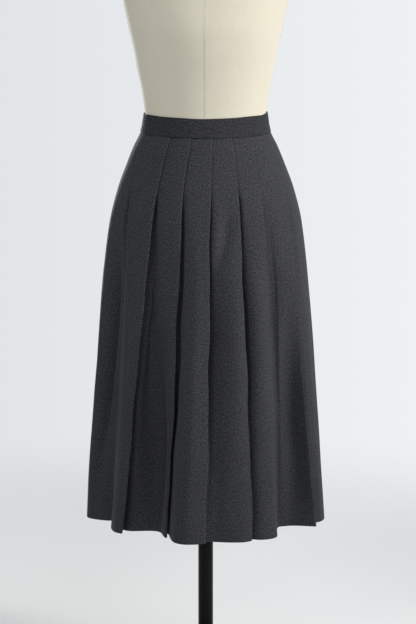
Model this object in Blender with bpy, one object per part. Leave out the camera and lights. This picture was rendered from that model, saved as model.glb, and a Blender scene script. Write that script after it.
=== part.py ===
# Pleated midi skirt with a plain waistband, standing on a limbless dress form.
# Metres, +Z up. The front faces -Y. The origin is on the floor, under the middle of the pole.
import math
from collections import namedtuple

import bpy
import bmesh
import numpy as np

# Driving dimensions
WAIST_TOP = 1.104          # height of the band's upper edge at the sides
BAND_SEAM = 1.0705         # height of the seam under the band at the sides
HEM = 0.300                # height of the hem above the floor
WAIST_DIP = 0.0082         # the waist is this much lower at the front, and higher at the back
DIP_FADES_AT = 0.62        # below this height the rings are level
CLOTH = 0.0012             # thickness of one layer of the wool
LAYER_STEP = 0.0017        # from one layer of a pleat to the next, cloth and air
BAND_CLOTH = 0.0030        # the band is folded double over a stiffener
SEAM_GAP = 0.0003          # between pieces that are sewn to or rest on each other
STITCHED_TO = 0.968        # the pleats are sewn down from the band to this height
BAND_END_LIFT = 0.0024     # the closing end of the band stands this much higher
BAND_LIFT_TURN = 24        # over the last degrees before that end
BAND_EDGE_ROUND = 0.0012   # the band's upper edge is rounded over this height
BAND_EDGE_SHARE = 0.55     # to this part of its thickness
BAND_STEPS = 30            # each half of the band is this many straight steps long
FACE_STEPS = 5             # a pleat's face is this many straight steps wide
LAP_STEPS = 2              # and the pleat is folded under this many of them
FACE_OPENING_POWER = 1.25  # how the faces leave the plain outline between the stitching and the hem
FOLD_OPENING_POWER = 0.85  # and how the folds do, which part sooner
LAYERS_HANG = 0.45         # the hidden layers hang this far into the room under a fold
MITRE_LIMIT = 0.5          # a corner of the wall is cut off where it would be longer than this allows

FORM_BOTTOM = 0.860
FORM_TOP = 1.560
FORM_SIDES = 44
FORM_ROUNDNESS = 0.93      # the form's rings are ellipses at 1, and squarer below it
WAIST_TILT_REACH = 0.16    # the form's rings tilt with the waist up to this far from it
POLE_RADIUS = 0.0148
POLE_SINK = 0.010          # the pole ends this far below the form's underside
POLE_SIDES = 32
COLLAR_LENGTH = 0.055
COLLAR_RADIUS = 0.021
COLLAR_FLANGE = 0.046
COLLAR_FLANGE_THICKNESS = 0.006
COLLAR_SIDES = 32
BASE_RADIUS = 0.185
BASE_THICKNESS = 0.008
BASE_BOSS_RADIUS = 0.023
BASE_BOSS_HEIGHT = 0.032
BASE_EDGE = 0.0015
BASE_SIDES = 64
NECK_CAP_RADIUS = 0.0505
NECK_CAP_HEIGHT = 0.014
NECK_CAP_EDGE = 0.003
NECK_CAP_SIDES = 48

# The outline of the skirt by height: half of its width, and how deep it is before and behind the side seams.
Level = namedtuple("Level", "height half_width front back")
OUTLINE = [
    Level(1.104, 0.1215, 0.0900, 0.0880),
    Level(1.086, 0.1238, 0.0925, 0.0910),
    Level(1.070, 0.1278, 0.0965, 0.0960),
    Level(1.043, 0.1410, 0.1045, 0.1070),
    Level(1.008, 0.1553, 0.1140, 0.1200),
    Level(0.961, 0.1728, 0.1270, 0.1350),
    Level(0.898, 0.1884, 0.1410, 0.1490),
    Level(0.819, 0.1981, 0.1520, 0.1590),
    Level(0.660, 0.2123, 0.1700, 0.1740),
    Level(0.499, 0.2243, 0.1850, 0.1870),
    Level(0.300, 0.2372, 0.2000, 0.2000),
]

# The sixteen folds, by the angle of their edge round the skirt, in degrees from the front centre towards +X,
# at six heights. over is 1 where the face before the fold lies on the next one, and -1 where the next one lies
# on it. At the hem, tip is how far out the edge stands and under how far out the face below it starts, as parts
# of the outline, and under_turn is the angle between the two.
FOLD_HEIGHTS = (1.0705, 0.965, 0.860, 0.660, 0.450, 0.300)
Fold = namedtuple("Fold", "over seam stitched hip knee calf hem tip under under_turn")
FOLDS = [
    Fold(-1, -71.0, -76.0, -81.0, -84.0, -89.0, -95.7, 1.010, 0.930, -4.0),
    Fold(-1, -52.0, -55.4, -52.5, -52.4, -55.9, -61.8, 0.888, 0.790, -19.3),
    Fold(1, -33.0, -33.5, -33.8, -38.0, -41.9, -45.5, 0.967, 0.858, -7.9),
    Fold(1, -13.0, -15.0, -15.1, -16.2, -18.9, -21.6, 0.909, 0.790, -1.0),
    Fold(1, 5.0, 3.0, 1.8, 1.4, 0.6, 0.0, 1.100, 1.035, 0.7),
    Fold(1, 22.8, 21.0, 20.4, 20.8, 21.1, 20.8, 1.048, 0.985, 1.4),
    Fold(1, 42.4, 38.2, 36.2, 36.6, 37.2, 37.0, 0.980, 0.720, 20.4),
    Fold(1, 71.2, 61.5, 59.8, 62.4, 63.2, 67.3, 0.985, 0.925, 9.6),
    Fold(1, 95.0, 92.0, 92.0, 93.0, 95.0, 97.5, 1.000, 0.905, 3.0),
    Fold(1, 119.0, 117.0, 117.0, 117.0, 118.0, 119.0, 1.030, 0.900, 6.0),
    Fold(-1, 143.0, 142.0, 142.0, 141.0, 141.0, 141.0, 1.035, 0.930, -2.0),
    Fold(-1, 167.0, 166.0, 165.0, 164.0, 163.0, 162.0, 1.060, 0.950, -1.0),
    Fold(-1, 191.5, 190.0, 189.0, 187.0, 185.0, 183.0, 1.030, 0.900, -7.0),
    Fold(-1, 216.0, 214.0, 212.0, 209.0, 206.0, 203.0, 1.075, 0.960, -1.0),
    Fold(-1, 240.5, 238.5, 235.0, 231.0, 227.0, 224.0, 1.020, 0.860, -8.0),
    Fold(-1, 265.0, 264.0, 259.0, 255.0, 250.0, 244.5, 1.000, 0.900, -4.0),
]
FIRST_SIDE_FOLD = 8        # the side seam at +X is hidden under this fold
SECOND_SIDE_FOLD = 15      # and the one at -X under this one

# The sixteen faces between the folds: how far out each stands at the hem, at four places across it, as parts of
# the outline. Face 0 follows fold 0.
Face = namedtuple("Face", "first second third fourth")
FACES = [
    Face(1.000, 0.980, 0.940, 0.880),
    Face(0.912, 0.935, 0.955, 0.965),
    Face(0.837, 0.750, 0.725, 0.775),
    Face(0.935, 1.085, 1.147, 1.135),
    Face(1.033, 1.055, 1.075, 1.080),
    Face(1.035, 1.048, 1.042, 1.020),
    Face(0.730, 0.755, 0.800, 0.890),
    Face(0.970, 0.990, 1.000, 1.000),
    Face(0.930, 0.980, 1.020, 1.035),
    Face(0.870, 0.865, 0.870, 0.885),
    Face(1.040, 1.030, 1.000, 0.970),
    Face(1.060, 1.040, 1.000, 0.940),
    Face(1.045, 1.050, 1.040, 1.000),
    Face(1.080, 1.050, 0.990, 0.910),
    Face(1.035, 1.040, 1.010, 0.960),
    Face(1.015, 1.010, 0.990, 0.960),
]

# Heights of the skirt's rings below its top edge, close together where its shape changes fastest.
RING_HEIGHTS = (1.046, 1.020, 0.990, 0.962, 0.925, 0.880, 0.820, 0.740, 0.650, 0.560, 0.470, 0.385, HEM)

# The dress form by height, a general figure: half width, and depth before and behind the side line.
FORM = [
    Level(0.860, 0.1530, 0.1120, 0.1270),
    Level(0.880, 0.1560, 0.1140, 0.1300),
    Level(0.920, 0.1550, 0.1125, 0.1280),
    Level(0.961, 0.1500, 0.1080, 0.1200),
    Level(1.008, 0.1390, 0.1000, 0.1075),
    Level(1.043, 0.1280, 0.0930, 0.0960),
    Level(1.072, 0.1205, 0.0885, 0.0880),
    Level(1.104, 0.1182, 0.0867, 0.0847),
    Level(1.148, 0.1235, 0.0925, 0.0860),
    Level(1.190, 0.1320, 0.1010, 0.0890),
    Level(1.229, 0.1395, 0.1120, 0.0920),
    Level(1.272, 0.1490, 0.1190, 0.0950),
    Level(1.326, 0.1600, 0.1140, 0.0975),
    Level(1.372, 0.1680, 0.1020, 0.0960),
    Level(1.410, 0.1720, 0.0880, 0.0900),
    Level(1.438, 0.1680, 0.0770, 0.0820),
    Level(1.458, 0.1500, 0.0680, 0.0740),
    Level(1.474, 0.1180, 0.0610, 0.0670),
    Level(1.487, 0.0840, 0.0560, 0.0600),
    Level(1.502, 0.0610, 0.0530, 0.0550),
    Level(1.525, 0.0545, 0.0510, 0.0520),
    Level(1.560, 0.0530, 0.0505, 0.0510),
]


def read_table(rows, height, column):
    """Read a column of a table at a height, on a smooth curve through its rows."""
    rows = sorted(rows, key=lambda row: row[0])
    at = [row[0] for row in rows]
    values = [row[column] for row in rows]
    return smooth_curve(at, values, height)


def smooth_curve(at, values, x):
    """A curve through the given values that never swings past them."""
    x = min(max(x, at[0]), at[-1])
    i = min(max(int(np.searchsorted(at, x)) - 1, 0), len(at) - 2)
    slopes = [(values[k + 1] - values[k]) / (at[k + 1] - at[k]) for k in range(len(at) - 1)]

    def tangent(k):
        if k == 0:
            return slopes[0]
        if k == len(at) - 1:
            return slopes[-1]
        before, after = slopes[k - 1], slopes[k]
        if before * after <= 0:
            return 0.0
        return 2 * before * after / (before + after)

    width = at[i + 1] - at[i]
    t = (x - at[i]) / width
    start = values[i] * (1 + 2 * t) * (1 - t) ** 2 + tangent(i) * width * t * (1 - t) ** 2
    end = values[i + 1] * t * t * (3 - 2 * t) - tangent(i + 1) * width * t * t * (1 - t)
    return start + end


def on_outline(rows, height, angle, out=1.0, inset=0.0):
    """The point in plan at an angle round a table's outline."""
    half_width = read_table(rows, height, 1) - inset
    front = math.cos(angle) > 0
    depth = read_table(rows, height, 2 if front else 3) - inset
    return np.array((out * half_width * math.sin(angle), -out * depth * math.cos(angle)))


def dip(point, height):
    """How far the tilted waist lowers a point."""
    fade = (height - DIP_FADES_AT) / (BAND_SEAM - DIP_FADES_AT)
    fade = min(max(fade, 0.0), 1.0)
    return WAIST_DIP * fade * -point[1] / max(math.hypot(*point), 1e-9)


def opening(height, power):
    """How far the pleats have opened: 0 where they are sewn down, 1 at the hem."""
    below = max(STITCHED_TO - height, 0.0) / (STITCHED_TO - HEM)
    return below ** power


def fold_angle(fold, height):
    angles = [fold.hem, fold.calf, fold.knee, fold.hip, fold.stitched, fold.seam]
    return math.radians(smooth_curve(list(reversed(FOLD_HEIGHTS)), angles, height))


def inward(direction):
    """The side of a line that faces into the skirt, when it runs round towards larger angles."""
    return np.array((-direction[1], direction[0]))


def unit(vector):
    return vector / max(np.linalg.norm(vector), 1e-12)


def face_points(index, height):
    """The points across one face, from the fold before it to the fold after it."""
    before, after = FOLDS[index], FOLDS[(index + 1) % len(FOLDS)]
    folds_opened = opening(height, FOLD_OPENING_POWER)
    opened = [opening(height, FACE_OPENING_POWER)] * (FACE_STEPS + 1)
    opened[0] = opened[-1] = folds_opened
    start = fold_angle(before, height)
    end = fold_angle(after, height)
    if index == len(FOLDS) - 1:
        end += 2 * math.pi
    start_under = before.over == 1
    end_under = after.over == -1
    if start_under:
        start += math.radians(before.under_turn) * folds_opened
    if end_under:
        end += math.radians(after.under_turn) * folds_opened
    outs = [before.under if start_under else before.tip, *FACES[index], after.under if end_under else after.tip]
    layers_deep = 2 * LAYER_STEP * (1 - folds_opened)
    sunk_start = layers_deep if start_under else 0.0
    sunk_end = layers_deep if end_under else 0.0
    points = []
    for step, out in enumerate(outs):
        part = step / FACE_STEPS
        angle = start + (end - start) * part
        sunk = sunk_start + (sunk_end - sunk_start) * part
        points.append(on_outline(OUTLINE, height, angle, 1 + (out - 1) * opened[step], CLOTH / 2 + sunk))
    return points


def folded_under(upper, under):
    """The two hidden layers of a pleat, from the fold's edge to the start of the face under it.

    upper holds the face on top, from its far side to the edge, and turns towards larger angles."""
    edge = upper[-1]
    direction = unit(edge - upper[-2])
    side = inward(direction)
    room = float(np.dot(under - edge, side))
    slack = LAYERS_HANG * max(room - 2 * LAYER_STEP, 0.0)
    back = upper[-1 - LAP_STEPS]
    back_side = inward(unit(edge - back))
    # where the face is hollow, the layers under it swing clear of its middle
    hollow = max(float(np.dot(upper[-2] - back, back_side)), 0.0)
    slack = max(slack, LAP_STEPS * hollow)
    turned = edge + side * LAYER_STEP
    inner_upper = back + back_side * (LAYER_STEP + slack)
    inner_lower = back + back_side * (2 * LAYER_STEP + slack)
    return [turned, inner_upper, inner_lower]


def mirrored(points):
    return [np.array((-p[0], p[1])) for p in points]


def fold_layers(index, height, faces):
    """The hidden layers of one fold, in order round the skirt."""
    fold = FOLDS[index]
    before, after = faces[index - 1], faces[index]
    if fold.over == 1:
        return folded_under(before, after[0])
    upper = mirrored(reversed(after))
    under = mirrored([before[-1]])[0]
    layers = folded_under(upper, under)
    return list(reversed(mirrored(layers)))


def seam_cut(a, b):
    """Two points on the line from a to b, one each side of a side seam."""
    middle = (a + b) / 2
    along = unit(b - a) * SEAM_GAP / 2
    return middle - along, middle + along


def skirt_line(first_fold, last_fold, height):
    """The middle line of the cloth between two side folds, in plan at one height."""
    faces = [face_points(i, height) for i in range(len(FOLDS))]
    count = len(FOLDS)
    line = []
    total = (last_fold - first_fold) % count
    opening_fold = FOLDS[first_fold]
    layers = fold_layers(first_fold, height, faces)
    if opening_fold.over == 1:
        hidden_end = seam_cut(layers[-1], faces[first_fold][0])[1]
        line.append(hidden_end)
    else:
        hidden_end = seam_cut(faces[first_fold - 1][-1], layers[0])[1]
        line += [hidden_end, *layers]
    for step in range(total):
        index = (first_fold + step) % count
        line += faces[index]
        after = (index + 1) % count
        layers = fold_layers(after, height, faces)
        if step < total - 1:
            line += layers
        elif FOLDS[after].over == 1:
            line += [*layers, seam_cut(layers[-1], faces[after][0])[0]]
        else:
            line.append(seam_cut(faces[index][-1], layers[0])[0])
    return line


def both_sides(line, thickness):
    """The outer and inner points of a wall of a given thickness along a line in plan."""
    outer, inner = [], []
    for i, point in enumerate(line):
        before = unit(point - line[i - 1]) if i else unit(line[1] - point)
        after = unit(line[i + 1] - point) if i < len(line) - 1 else before
        middle = unit(inward(before) + inward(after))
        stretch = 1 / max(float(np.dot(middle, inward(after))), MITRE_LIMIT)
        outer.append(point - middle * stretch * thickness / 2)
        inner.append(point + middle * stretch * thickness / 2)
    return outer, inner


def new_object(name, mesh_data, material, sharp_angle=35):
    mesh = bpy.data.meshes.new(name)
    mesh_data.to_mesh(mesh)
    mesh_data.free()
    mesh.shade_smooth()
    mesh.set_sharp_from_angle(angle=math.radians(sharp_angle))
    mesh.materials.append(material)
    part = bpy.data.objects.new(name, mesh)
    bpy.context.scene.collection.objects.link(part)
    return part


def wall(name, rings, material, sharp_angle=35):
    """A closed wall between open rings. Each ring is its outer and inner points, top ring first."""
    data = bmesh.new()
    grid = [[[data.verts.new(p) for p in side] for side in ring] for ring in rings]
    count = len(grid[0][0])

    def quad(*corners):
        data.faces.new(corners)

    for upper, lower in zip(grid, grid[1:]):
        for i in range(count - 1):
            quad(upper[0][i], lower[0][i], lower[0][i + 1], upper[0][i + 1])
            quad(upper[1][i], upper[1][i + 1], lower[1][i + 1], lower[1][i])
        quad(upper[0][0], upper[1][0], lower[1][0], lower[0][0])
        quad(upper[0][-1], lower[0][-1], lower[1][-1], upper[1][-1])
    top, bottom = grid[0], grid[-1]
    for i in range(count - 1):
        quad(top[0][i], top[0][i + 1], top[1][i + 1], top[1][i])
        quad(bottom[0][i], bottom[1][i], bottom[1][i + 1], bottom[0][i + 1])
    return new_object(name, data, material, sharp_angle)


def skirt_piece(name, first_fold, last_fold, material):
    """One length of pleated cloth, from under one side fold to under the other."""
    heights = [BAND_SEAM - SEAM_GAP, *RING_HEIGHTS]
    rings = []
    for height in heights:
        sides = both_sides(skirt_line(first_fold, last_fold, height), CLOTH)
        rings.append([[(p[0], p[1], height - dip(p, height)) for p in side] for side in sides])
    return wall(name, rings, material, sharp_angle=50)


def band_piece(name, start, end, lifted, material):
    """One half of the waistband, from one side seam to the other."""
    heights = (
        (WAIST_TOP, BAND_CLOTH * BAND_EDGE_SHARE),
        (WAIST_TOP - BAND_EDGE_ROUND, BAND_CLOTH),
        ((WAIST_TOP + BAND_SEAM) / 2, BAND_CLOTH),
        (BAND_SEAM, BAND_CLOTH),
    )
    half_gap = SEAM_GAP / 2 / read_table(OUTLINE, WAIST_TOP, 2)
    first, last = math.radians(start) + half_gap, math.radians(end) - half_gap
    angles = [first + (last - first) * i / BAND_STEPS for i in range(BAND_STEPS + 1)]
    rings = []
    for height, thickness in heights:
        line = [on_outline(OUTLINE, height, a, inset=BAND_CLOTH / 2) for a in angles]
        ring = []
        for side in both_sides(line, thickness):
            points = []
            for p, a in zip(side, angles):
                part = (height - BAND_SEAM) / (WAIST_TOP - BAND_SEAM)
                near_end = max(1 - (last - a) / math.radians(BAND_LIFT_TURN), 0.0) if lifted else 0.0
                lift = BAND_END_LIFT * part * near_end ** 2
                points.append((p[0], p[1], height - dip(p, height) + lift))
            ring.append(points)
        rings.append(ring)
    return wall(name, rings, material)


def lofted(name, rings, material, sharp_angle=35):
    """A closed solid through closed rings, bottom ring first, with flat ends."""
    data = bmesh.new()
    grid = [[data.verts.new(p) for p in ring] for ring in rings]
    count = len(grid[0])
    for lower, upper in zip(grid, grid[1:]):
        for i in range(count):
            j = (i + 1) % count
            data.faces.new((lower[i], lower[j], upper[j], upper[i]))
    data.faces.new(list(reversed(grid[0])))
    data.faces.new(grid[-1])
    return new_object(name, data, material, sharp_angle)


def form_ring(height):
    """One ring of the form, tilted with the waist near it."""
    near_waist = max(1 - abs(height - WAIST_TOP) / WAIST_TILT_REACH, 0.0)
    tilt = WAIST_DIP * min(2 * near_waist, 1.0)
    # near the waist the ring is a plain ellipse, as the band is; elsewhere it is a little squarer
    power = FORM_ROUNDNESS + (1 - FORM_ROUNDNESS) * near_waist
    ring = []
    for i in range(FORM_SIDES):
        angle = 2 * math.pi * i / FORM_SIDES
        sine, cosine = math.sin(angle), math.cos(angle)
        across = math.copysign(abs(sine) ** power, sine)
        along = math.copysign(abs(cosine) ** power, cosine)
        depth = read_table(FORM, height, 2 if cosine > 0 else 3)
        x, y = read_table(FORM, height, 1) * across, -depth * along
        ring.append((x, y, height - tilt * cosine))
    return ring


def form_torso(material):
    heights = [row.height for row in FORM]
    extra = [(a + b) / 2 for a, b in zip(heights, heights[1:]) if b - a > 0.04]
    return lofted("form_torso", [form_ring(h) for h in sorted(heights + extra)], material)


def turned(name, profile, sides, material, sharp_angle=35):
    """A turned solid from (radius, height) points, from the axis round the outside and back to the axis."""
    data = bmesh.new()
    rings = []
    for radius, height in profile:
        if radius == 0:
            rings.append([data.verts.new((0, 0, height))])
            continue
        circle = []
        for i in range(sides):
            angle = 2 * math.pi * i / sides
            circle.append(data.verts.new((radius * math.cos(angle), radius * math.sin(angle), height)))
        rings.append(circle)
    for lower, upper in zip(rings, rings[1:]):
        for i in range(sides):
            j = (i + 1) % sides
            if len(lower) == 1:
                data.faces.new((lower[0], upper[j], upper[i]))
            elif len(upper) == 1:
                data.faces.new((lower[i], lower[j], upper[0]))
            else:
                data.faces.new((lower[i], lower[j], upper[j], upper[i]))
    return new_object(name, data, material, sharp_angle)


def neck_cap(material):
    bottom = FORM_TOP + SEAM_GAP
    top = bottom + NECK_CAP_HEIGHT
    profile = [
        (0, bottom),
        (NECK_CAP_RADIUS, bottom),
        (NECK_CAP_RADIUS, top - NECK_CAP_EDGE),
        (NECK_CAP_RADIUS - NECK_CAP_EDGE, top),
        (0, top),
    ]
    return turned("form_neck_cap", profile, NECK_CAP_SIDES, material)


def stand_pole(material):
    bottom = BASE_THICKNESS + SEAM_GAP
    top = FORM_BOTTOM - POLE_SINK
    profile = [(0, bottom), (POLE_RADIUS, bottom), (POLE_RADIUS, top), (0, top)]
    return turned("stand_pole", profile, POLE_SIDES, material)


def stand_collar(material):
    """A sleeve under the form that the pole slides into, with a flange against the form."""
    top = FORM_BOTTOM - SEAM_GAP
    bottom = top - COLLAR_LENGTH
    bore = POLE_RADIUS + SEAM_GAP
    bore_top = FORM_BOTTOM - POLE_SINK + SEAM_GAP
    profile = [
        (0, bore_top),
        (bore, bore_top),
        (bore, bottom),
        (COLLAR_RADIUS, bottom),
        (COLLAR_RADIUS, top - COLLAR_FLANGE_THICKNESS),
        (COLLAR_FLANGE, top - COLLAR_FLANGE_THICKNESS),
        (COLLAR_FLANGE, top),
        (0, top),
    ]
    return turned("stand_collar", profile, COLLAR_SIDES, material)


def stand_base(material):
    """A round plate with a boss that holds the foot of the pole."""
    bore = POLE_RADIUS + SEAM_GAP
    profile = [
        (0, 0),
        (BASE_RADIUS - BASE_EDGE, 0),
        (BASE_RADIUS, BASE_EDGE),
        (BASE_RADIUS, BASE_THICKNESS - BASE_EDGE),
        (BASE_RADIUS - BASE_EDGE, BASE_THICKNESS),
        (BASE_BOSS_RADIUS, BASE_THICKNESS),
        (BASE_BOSS_RADIUS, BASE_BOSS_HEIGHT - BASE_EDGE),
        (BASE_BOSS_RADIUS - BASE_EDGE, BASE_BOSS_HEIGHT),
        (bore, BASE_BOSS_HEIGHT),
        (bore, BASE_THICKNESS),
        (0, BASE_THICKNESS),
    ]
    return turned("stand_base", profile, BASE_SIDES, material)


def new_material(name, colour, roughness, metallic=0.0):
    material = bpy.data.materials.new(name)
    material.use_nodes = True
    shader = material.node_tree.nodes["Principled BSDF"]
    shader.inputs["Base Color"].default_value = (*colour, 1.0)
    shader.inputs["Roughness"].default_value = roughness
    shader.inputs["Metallic"].default_value = metallic
    return material


def clear_scene():
    for item in list(bpy.data.objects):
        bpy.data.objects.remove(item, do_unlink=True)


def main():
    clear_scene()
    front_wool = new_material("charcoal_wool_front", (0.031, 0.032, 0.036), 0.95)
    back_wool = new_material("charcoal_wool_back", (0.030, 0.031, 0.035), 0.95)
    band_wool = new_material("charcoal_wool_band", (0.036, 0.037, 0.041), 0.95)
    band_back_wool = new_material("charcoal_wool_band_back", (0.035, 0.036, 0.040), 0.95)
    linen = new_material("cream_form_cover", (0.640, 0.590, 0.480), 0.85)
    cap = new_material("form_cap_lacquer", (0.560, 0.500, 0.390), 0.45)
    black_steel = new_material("black_steel_tube", (0.012, 0.012, 0.013), 0.35, 0.4)
    black_plastic = new_material("black_collar", (0.014, 0.014, 0.015), 0.50)
    base_steel = new_material("black_base_plate", (0.013, 0.013, 0.014), 0.42, 0.3)

    skirt_piece("skirt_front", SECOND_SIDE_FOLD, FIRST_SIDE_FOLD, front_wool)
    skirt_piece("skirt_back", FIRST_SIDE_FOLD, SECOND_SIDE_FOLD, back_wool)
    band_piece("waistband_front", -90, 90, True, band_wool)
    band_piece("waistband_back", 90, 270, False, band_back_wool)
    form_torso(linen)
    neck_cap(cap)
    stand_collar(black_plastic)
    stand_pole(black_steel)
    stand_base(base_steel)


main()
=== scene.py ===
# The finished looks of a pleated wool skirt on a limbless dress form: fine cloth shells, the form and its
# stand, their materials, a pale studio, and the camera. Metres, +Z up, the skirt's front faces -Y.
import math
from collections import namedtuple

import bpy
import bmesh
import numpy as np
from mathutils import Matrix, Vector


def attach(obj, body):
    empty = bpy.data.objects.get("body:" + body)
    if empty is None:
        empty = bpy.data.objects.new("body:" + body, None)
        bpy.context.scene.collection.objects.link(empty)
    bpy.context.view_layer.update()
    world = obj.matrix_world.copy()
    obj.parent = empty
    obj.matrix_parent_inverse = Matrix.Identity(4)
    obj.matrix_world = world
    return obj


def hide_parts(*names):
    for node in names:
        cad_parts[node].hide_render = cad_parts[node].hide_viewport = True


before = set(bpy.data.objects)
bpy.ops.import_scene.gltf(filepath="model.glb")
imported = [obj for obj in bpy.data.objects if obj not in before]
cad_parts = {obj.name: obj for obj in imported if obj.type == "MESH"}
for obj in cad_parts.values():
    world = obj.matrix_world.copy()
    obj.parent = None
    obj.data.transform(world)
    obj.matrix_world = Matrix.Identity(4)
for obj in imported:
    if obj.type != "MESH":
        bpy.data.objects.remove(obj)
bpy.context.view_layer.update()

# Sizes that the solids are made from
WAIST_TOP = 1.104          # height of the band's upper edge at the sides
BAND_SEAM = 1.0705         # height of the seam under the band at the sides
HEM = 0.300
WAIST_DIP = 0.0082         # the waist is this much lower at the front, and higher at the back
DIP_FADES_AT = 0.62        # below this height the cloth is level
CLOTH = 0.0012             # one layer of the wool
LAYER_STEP = 0.0017        # from one layer of a pleat to the next
BAND_CLOTH = 0.0030        # the doubled band
SEAM_GAP = 0.0003
STITCHED_TO = 0.968        # the pleats are sewn down to this height
BAND_LIFT_TURN = 24        # the band's closing end lifts over these last degrees
FACE_OPENING_POWER = 1.25
FOLD_OPENING_POWER = 0.85
LAYERS_HANG = 0.45
LAP = 0.4                  # a pleat is folded under this part of its face
FORM_BOTTOM = 0.860
FORM_TOP = 1.560
FORM_ROUNDNESS = 0.93
WAIST_TILT_REACH = 0.16
POLE_RADIUS = 0.0148
POLE_SINK = 0.010
COLLAR_LENGTH = 0.055
COLLAR_RADIUS = 0.021
COLLAR_FLANGE = 0.046
COLLAR_FLANGE_THICKNESS = 0.006
BASE_RADIUS = 0.185
BASE_THICKNESS = 0.008
BASE_BOSS_RADIUS = 0.023
BASE_BOSS_HEIGHT = 0.032
NECK_CAP_RADIUS = 0.0505
NECK_CAP_HEIGHT = 0.014

# Sizes of the finer form
FACE_COLUMNS = 18          # columns of the mesh across a pleat's face
HIDDEN_COLUMNS = 5         # and across each hidden layer
TURN_COLUMNS = 3           # and round each folded edge
RING_SPACING = 0.0056
HEM_DEPTH = 0.036          # the cloth is turned up inside to this height above the hem
HEM_CLOTH = 0.0008         # and is this much thicker there
HEM_LAYER_STEP = 0.0030    # so the layers of a pleat stand this far apart at the hem
ROLL_HEIGHT = 0.0035       # just under the band the cloth turns in to its seam
ROLL_DEPTH = 0.0016
HEM_EDGE = 0.0012          # height of the hem's rounded edge
HEM_EDGE_SHARE = 0.45      # the cloth has this part of its thickness at the very edge
FOLD_WANDER = 0.0011       # how far a fold's edge strays from its line
FOLD_FREE_OVER = 0.20      # it strays fully this far below the stitching
MEAN_RADIUS = 0.20         # of the skirt, which turns that length into an angle
RIPPLE_DEPTH = 0.0007      # the slight unevenness of the hang
RIPPLE_FREE_OVER = 0.25    # is full this far below the stitching
FLAT_FACE_SPACING = 0.35   # from one pleat's place in the cloth to the next, for the weave
BAND_HEIGHT = WAIST_TOP - BAND_SEAM
BAND_RISE = 0.0034         # the band's top edge stands this much above the solid's
BAND_END_LIFT = 0.0034     # and its closing end this much higher still, 1 mm more than the solid's

Level = namedtuple("Level", "height half_width front back")
OUTLINE = [
    Level(0.300, 0.2372, 0.2000, 0.2000),
    Level(0.499, 0.2243, 0.1850, 0.1870),
    Level(0.660, 0.2123, 0.1700, 0.1740),
    Level(0.819, 0.1981, 0.1520, 0.1590),
    Level(0.898, 0.1884, 0.1410, 0.1490),
    Level(0.961, 0.1728, 0.1270, 0.1350),
    Level(1.008, 0.1553, 0.1140, 0.1200),
    Level(1.043, 0.1410, 0.1045, 0.1070),
    Level(1.070, 0.1278, 0.0965, 0.0960),
    Level(1.086, 0.1238, 0.0925, 0.0910),
    Level(1.104, 0.1215, 0.0900, 0.0880),
]
FORM = [
    Level(0.860, 0.1530, 0.1120, 0.1270),
    Level(0.880, 0.1560, 0.1140, 0.1300),
    Level(0.920, 0.1550, 0.1125, 0.1280),
    Level(0.961, 0.1500, 0.1080, 0.1200),
    Level(1.008, 0.1390, 0.1000, 0.1075),
    Level(1.043, 0.1280, 0.0930, 0.0960),
    Level(1.072, 0.1205, 0.0885, 0.0880),
    Level(1.104, 0.1182, 0.0867, 0.0847),
    Level(1.148, 0.1235, 0.0925, 0.0860),
    Level(1.190, 0.1320, 0.1010, 0.0890),
    Level(1.229, 0.1395, 0.1120, 0.0920),
    Level(1.272, 0.1490, 0.1190, 0.0950),
    Level(1.326, 0.1600, 0.1140, 0.0975),
    Level(1.372, 0.1680, 0.1020, 0.0960),
    Level(1.410, 0.1720, 0.0880, 0.0900),
    Level(1.438, 0.1680, 0.0770, 0.0820),
    Level(1.458, 0.1500, 0.0680, 0.0740),
    Level(1.474, 0.1180, 0.0610, 0.0670),
    Level(1.487, 0.0840, 0.0560, 0.0600),
    Level(1.502, 0.0610, 0.0530, 0.0550),
    Level(1.525, 0.0545, 0.0510, 0.0520),
    Level(1.560, 0.0530, 0.0505, 0.0510),
]

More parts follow.
